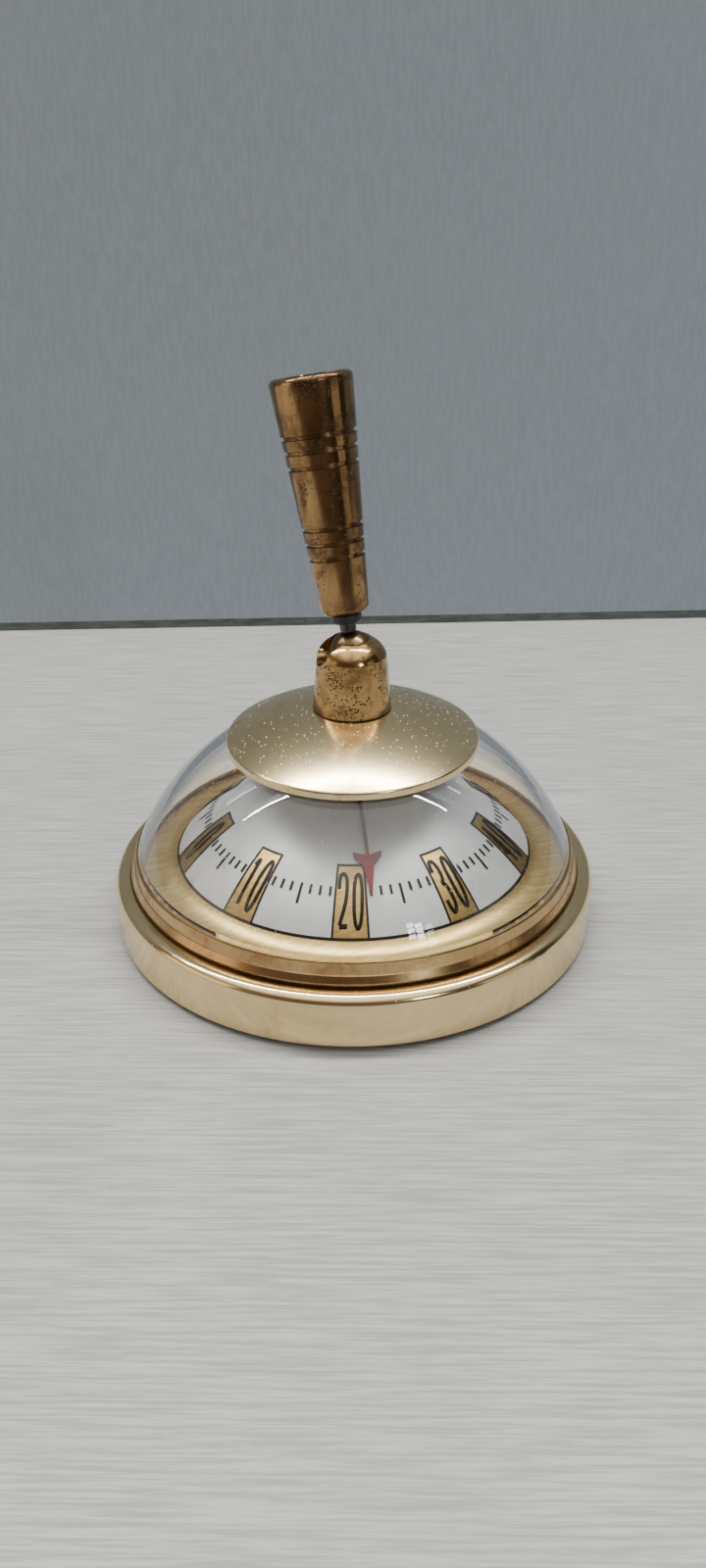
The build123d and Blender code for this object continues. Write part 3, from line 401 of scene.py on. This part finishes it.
def handFinish():                                     # enamel: red head, and the shaft painted dark as the shade and reflection of the cap disc
    material, tree, shader = newFinish("handRed", Coat_Weight=0.08, Coat_Roughness=0.08, Specular_IOR_Level=0.15)
    place = millimetres(tree)
    reach = fromAxis(tree, place)
    patchy = add(tree, "TexNoise", {"Vector": place, "Scale": 1.2, "Detail": 5.0}).outputs["Fac"]
    ragged = calc(tree, "ADD", reach, calc(tree, "MULTIPLY", patchy, handLook["fade"]))
    head = soft(tree, ragged, handLook["shaftEnd"], handLook["shaftEnd"] + handLook["fade"])
    red = blend(tree, soft(tree, patchy, 0.35, 0.7), handLook["red"], handLook["redDeep"])
    # painted shade on the shaft, with a patchy edge toward the red head
    colour = blend(tree, head, handLook["shaftShade"], red)
    feed(tree, shader, Base_Color=colour, Roughness=between(tree, patchy, 0.25, 0.5))
    return material


finishes = {key + "Brass": brassFinish(key + "Brass", look) for key, look in brassLooks.items()}
finishes.update({key: plainFinish(key, look) for key, look in plainLooks.items()})
finishes.update(dialSheet=dialFinish(), boxBrass=boxFinish(), printInk=inkFinish(), clearDome=glassFinish(),
                handRed=handFinish())

finishOf = {
    "padRubber": ["base_pad"],
    "plateSteel": ["base_plate", "movement_frame"],
    "screwSteel": ["base_screws", "ballast_screws", "frame_screws", "arbor"],
    "ballastIron": ["ballast"],
    "skirtBrass": ["base_shell"],
    "bezelBrass": ["bezel_ring"],
    "dialSheet": ["dial_plate"],
    "gasketRubber": ["dome_gasket"],
    "clearDome": ["crystal_dome"],
    "cushionFibre": ["cushion_washer"],
    "capBrass": ["cap_disc"],
    "movementBrass": ["shell_pillars", "frame_pillars", "lower_bearing", "dial_bush", "anchor_post", "coil_collet",
                      "hand_hub"],
    "bimetal": ["bimetal_coil"],
    "handRed": ["hand"],
    "cupBrass": ["socket_cup"],
    "socketSteel": ["socket_plug", "disc_springs", "socket_stud", "stud_nut", "spring_washer"],
    "seatPlastic": ["ball_seat"],
    "ballBrass": ["swivel_ball"],
    "stemSteel": ["stem"],
    "collarBlack": ["lock_collar"],
    "funnelBrass": ["pen_funnel"],
    "linerPlastic": ["funnel_liner"],
}
for finish, names in finishOf.items():
    for name in names:
        nodes[name].data.materials.clear()
        nodes[name].data.materials.append(finishes[finish])
print("finishes on", sum(len(names) for names in finishOf.values()), "pieces")


# helpers for modelling

def begin():
    if bpy.context.object and bpy.context.object.mode != "OBJECT":
        bpy.ops.object.mode_set(mode="OBJECT")
    bpy.ops.object.select_all(action="DESELECT")


def pick(*pieces):
    begin()
    for piece in pieces:
        piece.select_set(True)
    bpy.context.view_layer.objects.active = pieces[0]
    return pieces[0]


def settle(piece, name, finish, body="base"):   # place into the mesh, name, finish, body
    pick(piece)
    bpy.ops.object.transform_apply(location=True, rotation=True, scale=True)
    piece.name = name
    piece.data.materials.clear()
    piece.data.materials.append(finishes[finish])
    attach(piece, body)
    return piece


def joined(pieces):
    pick(*pieces)
    if len(pieces) > 1:
        bpy.ops.object.join()
    return bpy.context.object


def drape(piece, lift, thickness):                    # lay a flat print on the domed dial
    pick(piece)
    for face in piece.data.polygons:
        face.select = face.normal.z < 0
    bpy.ops.object.mode_set(mode="EDIT")
    bpy.ops.mesh.select_mode(type="FACE")
    bpy.ops.mesh.flip_normals()                       # all faces up, so the film lies below its lift
    bpy.ops.object.mode_set(mode="OBJECT")
    wrap = piece.modifiers.new("drape", "SHRINKWRAP")
    wrap.target = nodes["dial_plate"]
    wrap.wrap_method = "PROJECT"
    wrap.use_project_z = True
    wrap.use_negative_direction = True
    wrap.use_positive_direction = False
    wrap.offset = lift
    bpy.ops.object.modifier_apply(modifier=wrap.name)
    solid = piece.modifiers.new("thickness", "SOLIDIFY")
    solid.thickness = thickness
    solid.offset = -1
    bpy.ops.object.modifier_apply(modifier=solid.name)
    return piece


# the dial's print: flat pieces drawn above the dial, then draped on it

scale = dict(unitAngle=3.65, low=-20, high=60, front=20, printHeight=45 * mm, ringSteps=800,
             boxLift=0.08 * mm, inkLift=0.2 * mm, numeralLift=0.23 * mm, film=0.02 * mm)
ticks = dict(inner=31.5 * mm, shortOuter=33.1 * mm, longOuter=34.9 * mm, width=0.52 * mm)
boxes = dict(inner=27.6 * mm, outer=39.42 * mm, halfAngle=5.4, line=0.42 * mm)
numerals = dict(height=8.1 * mm, width=1.62 * mm, gap=1.4 * mm, middle=33.6 * mm, line=0.72 * mm, dash=2.1 * mm,
                squeeze=0.72)


def dialAngle(value):                                 # turn about Z from the front, in radians
    return radians((value - scale["front"]) * scale["unitAngle"])


def turned(piece, angle):
    piece.rotation_euler = (0, 0, angle)
    pick(piece)
    bpy.ops.object.transform_apply(location=True, rotation=True, scale=True)
    return piece


def copied(piece):
    twin = piece.copy()
    twin.data = piece.data.copy()
    bpy.context.collection.objects.link(twin)
    return twin


def radialStrip(inner, outer, width, steps=8):        # straight strip along -Y
    begin()
    bpy.ops.mesh.primitive_grid_add(x_subdivisions=1, y_subdivisions=steps, size=1,
                                    location=(0, -(inner + outer) / 2, scale["printHeight"]))
    strip = bpy.context.object
    strip.scale = (width, outer - inner, 1)
    pick(strip)
    bpy.ops.object.transform_apply(location=True, rotation=True, scale=True)
    return strip


def ringSector(inner, outer, halfAngle, rows=10):     # flat annular patch centred on -Y
    begin()
    bpy.ops.mesh.primitive_circle_add(vertices=scale["ringSteps"], radius=inner, fill_type="NOTHING",
                                      location=(0, 0, scale["printHeight"]))
    ring = bpy.context.object
    bpy.ops.object.mode_set(mode="EDIT")
    bpy.ops.mesh.select_mode(type="VERT")
    bpy.ops.mesh.select_all(action="SELECT")
    reach = inner
    for row in range(rows):
        nextReach = inner + (outer - inner) * (row + 1) / rows
        bpy.ops.mesh.extrude_region_move()
        bpy.ops.transform.resize(value=(nextReach / reach, nextReach / reach, 1))
        reach = nextReach
    bpy.ops.object.mode_set(mode="OBJECT")
    if halfAngle < 180:
        limit = tan(radians(halfAngle)) * 1.0001
        for face in ring.data.polygons:
            x, y, z = face.center
            face.select = not (y < 0 and abs(x) < -y * limit)
        bpy.ops.object.mode_set(mode="EDIT")
        bpy.ops.mesh.select_mode(type="FACE")
        bpy.ops.mesh.delete(type="FACE")
        bpy.ops.object.mode_set(mode="OBJECT")
    pick(ring)
    bpy.ops.object.transform_apply(location=True, rotation=True, scale=True)
    return ring


def buildTicks():
    pieces = []
    for value in range(scale["low"] + 1, scale["high"]):
        if value % 10 in (0, 1, 9):
            continue                                  # under the number boxes
        outer = ticks["longOuter"] if value % 5 == 0 else ticks["shortOuter"]
        pieces.append(turned(radialStrip(ticks["inner"], outer, ticks["width"]), dialAngle(value)))
    piece = drape(joined(pieces), scale["inkLift"], scale["film"])
    return settle(piece, "scale_ticks", "printInk")


def buildBoxes():
    patch = ringSector(boxes["inner"], boxes["outer"], boxes["halfAngle"])
    patches = [turned(copied(patch), dialAngle(value)) for value in range(scale["low"], scale["high"] + 1, 10)]
    bpy.data.objects.remove(patch)
    piece = drape(joined(patches), scale["boxLift"], scale["film"])
    return settle(piece, "number_boxes", "boxBrass")


def buildOutlines():
    half = boxes["line"] / 2
    pieces = [ringSector(boxes["outer"] - half, boxes["outer"] + half, 180, rows=1)]
    side = boxes["halfAngle"]
    for value in range(scale["low"], scale["high"] + 1, 10):
        end = ringSector(boxes["inner"] - half, boxes["inner"] + half, side, rows=1)
        pieces.append(turned(end, dialAngle(value)))
        for sign in (-1, 1):
            strip = radialStrip(boxes["inner"] - half, boxes["outer"], boxes["line"], steps=12)
            pieces.append(turned(strip, dialAngle(value) + sign * radians(side)))
    piece = drape(joined(pieces), scale["inkLift"], scale["film"])
    return settle(piece, "box_outlines", "printInk")


# each stroke is a list of (x, y) in a cell one wide and one high; a closed stroke is a loop
strokes = {
    "0": [("loop", [(0.5, 1.05), (0.84, 0.96), (1.0, 0.72), (1.0, 0.5), (1.0, 0.28), (0.84, 0.04), (0.5, -0.05),
                    (0.16, 0.04), (0.0, 0.28), (0.0, 0.5), (0.0, 0.72), (0.16, 0.96)])],
    "1": [("open", [(0.25, 0.84), (0.55, 0.96), (0.62, 1.0)]), ("open", [(0.62, 1.0), (0.62, 0.5), (0.62, 0.0)])],
    "2": [("open", [(0.02, 0.72), (0.04, 0.98), (0.5, 1.06), (0.98, 0.97), (1.02, 0.72), (0.86, 0.46), (0.42, 0.2),
                    (0.04, 0.02)]), ("open", [(0.04, 0.0), (0.5, 0.0), (1.02, 0.0)])],
    "3": [("open", [(0.02, 0.8), (0.12, 1.02), (0.6, 1.05), (1.0, 0.93), (0.98, 0.66), (0.7, 0.54), (0.4, 0.53)]),
          ("open", [(0.4, 0.53), (0.8, 0.52), (1.02, 0.36), (1.0, 0.06), (0.55, -0.05), (0.08, -0.02), (0.0, 0.2)])],
    "4": [("open", [(0.7, 0.0), (0.7, 0.5), (0.7, 1.0)]), ("open", [(0.7, 1.0), (0.35, 0.62), (0.0, 0.26)]),
          ("open", [(0.0, 0.26), (0.5, 0.26), (1.02, 0.26)])],
    "5": [("open", [(0.95, 1.0), (0.5, 1.0), (0.12, 1.0)]), ("open", [(0.12, 1.0), (0.1, 0.8), (0.07, 0.56)]),
          ("open", [(0.07, 0.56), (0.4, 0.66), (0.95, 0.6), (1.04, 0.3), (0.95, -0.02), (0.4, -0.04), (0.0, 0.14)])],
    "6": [("open", [(0.85, 0.98), (0.35, 0.9), (0.02, 0.62), (0.0, 0.3), (0.04, 0.0), (0.5, -0.03), (0.98, 0.0),
                    (1.0, 0.3), (0.96, 0.56), (0.5, 0.6), (0.06, 0.46)])],
    "-": [("open", [(0.0, 0.5), (0.5, 0.5), (1.0, 0.5)])],
}


def strokeRibbon(points, closed, left, bottom, width, height, line):
    curve = bpy.data.curves.new("stroke", "CURVE")
    curve.dimensions = "3D"
    curve.twist_mode = "Z_UP"
    curve.resolution_u = 10
    curve.extrude = line / 2
    spline = curve.splines.new("NURBS")
    spline.points.add(len(points) - 1)
    for point, (x, y) in zip(spline.points, points):
        point.co = (left + x * width, bottom + y * height, scale["printHeight"], 1)
        point.tilt = pi / 2
    spline.order_u = 3
    spline.use_cyclic_u = closed
    spline.use_endpoint_u = not closed
    ribbon = bpy.data.objects.new("stroke", curve)
    bpy.context.collection.objects.link(ribbon)
    pick(ribbon)
    bpy.ops.object.convert(target="MESH")
    return bpy.context.object


def buildNumerals():
    pieces = []
    for value in range(scale["low"], scale["high"] + 1, 10):
        label = str(value)
        widths = [numerals["dash"] if letter == "-" else numerals["width"] for letter in label]
        squeeze = numerals["squeeze"] if len(label) > 2 else 1.0      # three signs share one box
        step = numerals["gap"] * squeeze
        total = sum(widths) * squeeze + step * (len(label) - 1)
        left = -total / 2
        for letter, width in zip(label, widths):
            for kind, points in strokes[letter]:
                ribbon = strokeRibbon(points, kind == "loop", left, -numerals["middle"] - numerals["height"] / 2,
                                      width * squeeze, numerals["height"], numerals["line"])
                pieces.append(turned(ribbon, dialAngle(value)))
            left += width * squeeze + step
    piece = drape(joined(pieces), scale["numeralLift"], scale["film"])
    return settle(piece, "numerals", "printInk")


buildBoxes()
buildOutlines()
buildTicks()
buildNumerals()
print("dial printed")


# stage, lights and camera

stageLook = dict(wallAt=0.178, front=-0.5, halfWidth=1.6, wallHeight=1.3,
                 floorColour=(0.42, 0.42, 0.405), floorAlt=(0.285, 0.285, 0.275),
                 wallColour=(0.25, 0.29, 0.335), wallAlt=(0.28, 0.325, 0.375), wallTurn=radians(2.6), floorBeyond=0.6,
                 stripHeight=3.0 * mm, stripColour=(0.05, 0.065, 0.06), stripAlt=(0.1, 0.12, 0.11))


def flatPiece(name, size, place, turn=(0, 0, 0)):
    begin()
    bpy.ops.mesh.primitive_plane_add(size=1, location=place, rotation=turn)
    piece = bpy.context.object
    piece.name = name
    piece.scale = (size[0], size[1], 1)
    bpy.ops.object.transform_apply(location=True, rotation=True, scale=True)
    return piece


def linedPaint(name, colour, alt, lines, length, rough, turn=(0, 0, 0), oneSided=False):
    material, tree, shader = newFinish(name)
    place = millimetres(tree, turn=turn)
    grain = use(tree, grainGroup, {"Vector": place, "Lines per mm": lines, "Length mm": length})
    cloud = add(tree, "TexNoise", {"Vector": place, "Scale": 0.012, "Detail": 3.0}).outputs["Fac"]
    mixed = blend(tree, soft(tree, grain["Grain"], 0.4, 0.6), colour, alt)
    mixed = blend(tree, calc(tree, "MULTIPLY", soft(tree, cloud, 0.35, 0.7), 0.3), mixed, alt)
    feed(tree, shader, Base_Color=mixed, Roughness=between(tree, grain["Grain"], rough - 0.08, rough + 0.08))
    if oneSided:                                      # clear from behind, so it never hides the object
        rear = tree.nodes.new("ShaderNodeNewGeometry").outputs["Backfacing"]
        clear = tree.nodes.new("ShaderNodeBsdfTransparent").outputs[0]
        both = add(tree, "MixShader", {0: rear, 1: shader.outputs[0], 2: clear}).outputs[0]
        tree.links.new(both, tree.nodes["Material Output"].inputs["Surface"])
    return material


def buildStage():
    look = stageLook
    depth = look["wallAt"] + look["floorBeyond"] - look["front"]
    floor = flatPiece("floor", (2 * look["halfWidth"], depth), (0, look["front"] + depth / 2, 0))
    floor.data.materials.append(linedPaint("floorPaint", look["floorColour"], look["floorAlt"], 1.3, 22.0, 0.5))
    wall = flatPiece("backdrop", (2 * look["halfWidth"], look["wallHeight"]),
                     (0, look["wallAt"], look["wallHeight"] / 2), (pi / 2, 0, look["wallTurn"]))
    wall.data.materials.append(linedPaint("wallPaint", look["wallColour"], look["wallAlt"], 0.8, 6.0, 0.7,
                                          (0, radians(90), 0), oneSided=True))
    strip = flatPiece("wallFoot", (2 * look["halfWidth"], look["stripHeight"]),
                      (0, look["wallAt"] - 1 * mm, look["stripHeight"] / 2), (pi / 2, 0, look["wallTurn"]))
    strip.data.materials.append(linedPaint("stripPaint", look["stripColour"], look["stripAlt"], 0.8, 9.0, 0.6,
                                           oneSided=True))


lights = {                                            # aimed at the middle of the object
    "ceilingStrip": dict(place=(-0.12, 0.13, 0.95), size=(1.75, 0.02), power=19.0, colour=(1.0, 0.99, 0.96)),
    "sideRight": dict(place=(0.85, -0.35, 0.22), size=(0.4, 0.4), power=0.25, colour=(1.0, 0.96, 0.86)),
    "sideLeft": dict(place=(-0.85, -0.3, 0.25), size=(0.6, 0.45), power=0.85, colour=(1.0, 0.82, 0.64)),
}
window = dict(place=(0.47, -0.83, 0.42), pane=(0.055, 0.035), step=(0.085, 0.052), columns=2, rows=3, power=0.2,
              colour=(0.93, 0.97, 1.0))
for column in range(window["columns"]):
    for row in range(window["rows"]):
        x, y, z = window["place"]
        lights["pane%d%d" % (column, row)] = dict(
            place=(x + column * window["step"][0], y, z + (row - 1) * window["step"][1]), size=window["pane"],
            power=window["power"], colour=window["colour"])


def buildLights():
    for name, look in lights.items():
        light = bpy.data.lights.new(name, "AREA")
        light.shape = "RECTANGLE"
        light.size, light.size_y = look["size"]
        light.energy = look["power"]
        light.color = look["colour"]
        lamp = bpy.data.objects.new(name, light)
        lamp.location = look["place"]
        aim = Vector(look["place"]) - Vector((0, 0, 0.05))
        if abs(aim.z) > 0.9 * aim.length:
            aim = Vector((0, 0, 1))
        lamp.rotation_euler = aim.to_track_quat("Z", "Y").to_euler()
        bpy.context.collection.objects.link(lamp)


def buildWorld():                                     # dark low down, bright overhead
    world = bpy.data.worlds.new("studio")
    world.use_nodes = True
    tree = world.node_tree
    toward = add(tree, "SeparateXYZ", {0: tree.nodes.new("ShaderNodeTexCoord").outputs["Generated"]}).outputs
    high = soft(tree, toward["Z"], 0.5, 0.95)
    low = blend(tree, soft(tree, toward["X"], -0.35, -0.9), (0.15, 0.115, 0.10), (0.22, 0.17, 0.135))
    low = blend(tree, soft(tree, toward["X"], 0.2, 0.75), low, (0.05, 0.042, 0.036))
    colour = blend(tree, high, low, (1.85, 1.84, 1.8))
    tree.links.new(colour, tree.nodes["Background"].inputs["Color"])
    bpy.context.scene.world = world


camera = dict(lens=30.375, sensor=36.0, pitch=28.28, azimuth=1.2, roll=-0.55,
              distance=259.7 * mm, height=171.1 * mm)


def buildCamera():
    data = bpy.data.cameras.new("camera")
    data.lens = camera["lens"]
    data.sensor_width = camera["sensor"]
    data.clip_start = 0.01
    view = bpy.data.objects.new("camera", data)
    bpy.context.collection.objects.link(view)
    side = radians(camera["azimuth"])
    place = Matrix.Translation((camera["distance"] * sin(side), -camera["distance"] * cos(side), camera["height"]))
    turn = Matrix.Rotation(side, 4, "Z") @ Matrix.Rotation(radians(90 - camera["pitch"]), 4, "X")
    view.matrix_world = place @ turn @ Matrix.Rotation(radians(camera["roll"]), 4, "Z")
    bpy.context.scene.camera = view


buildStage()
buildLights()
buildWorld()
buildCamera()
print("stage, lights and camera set")
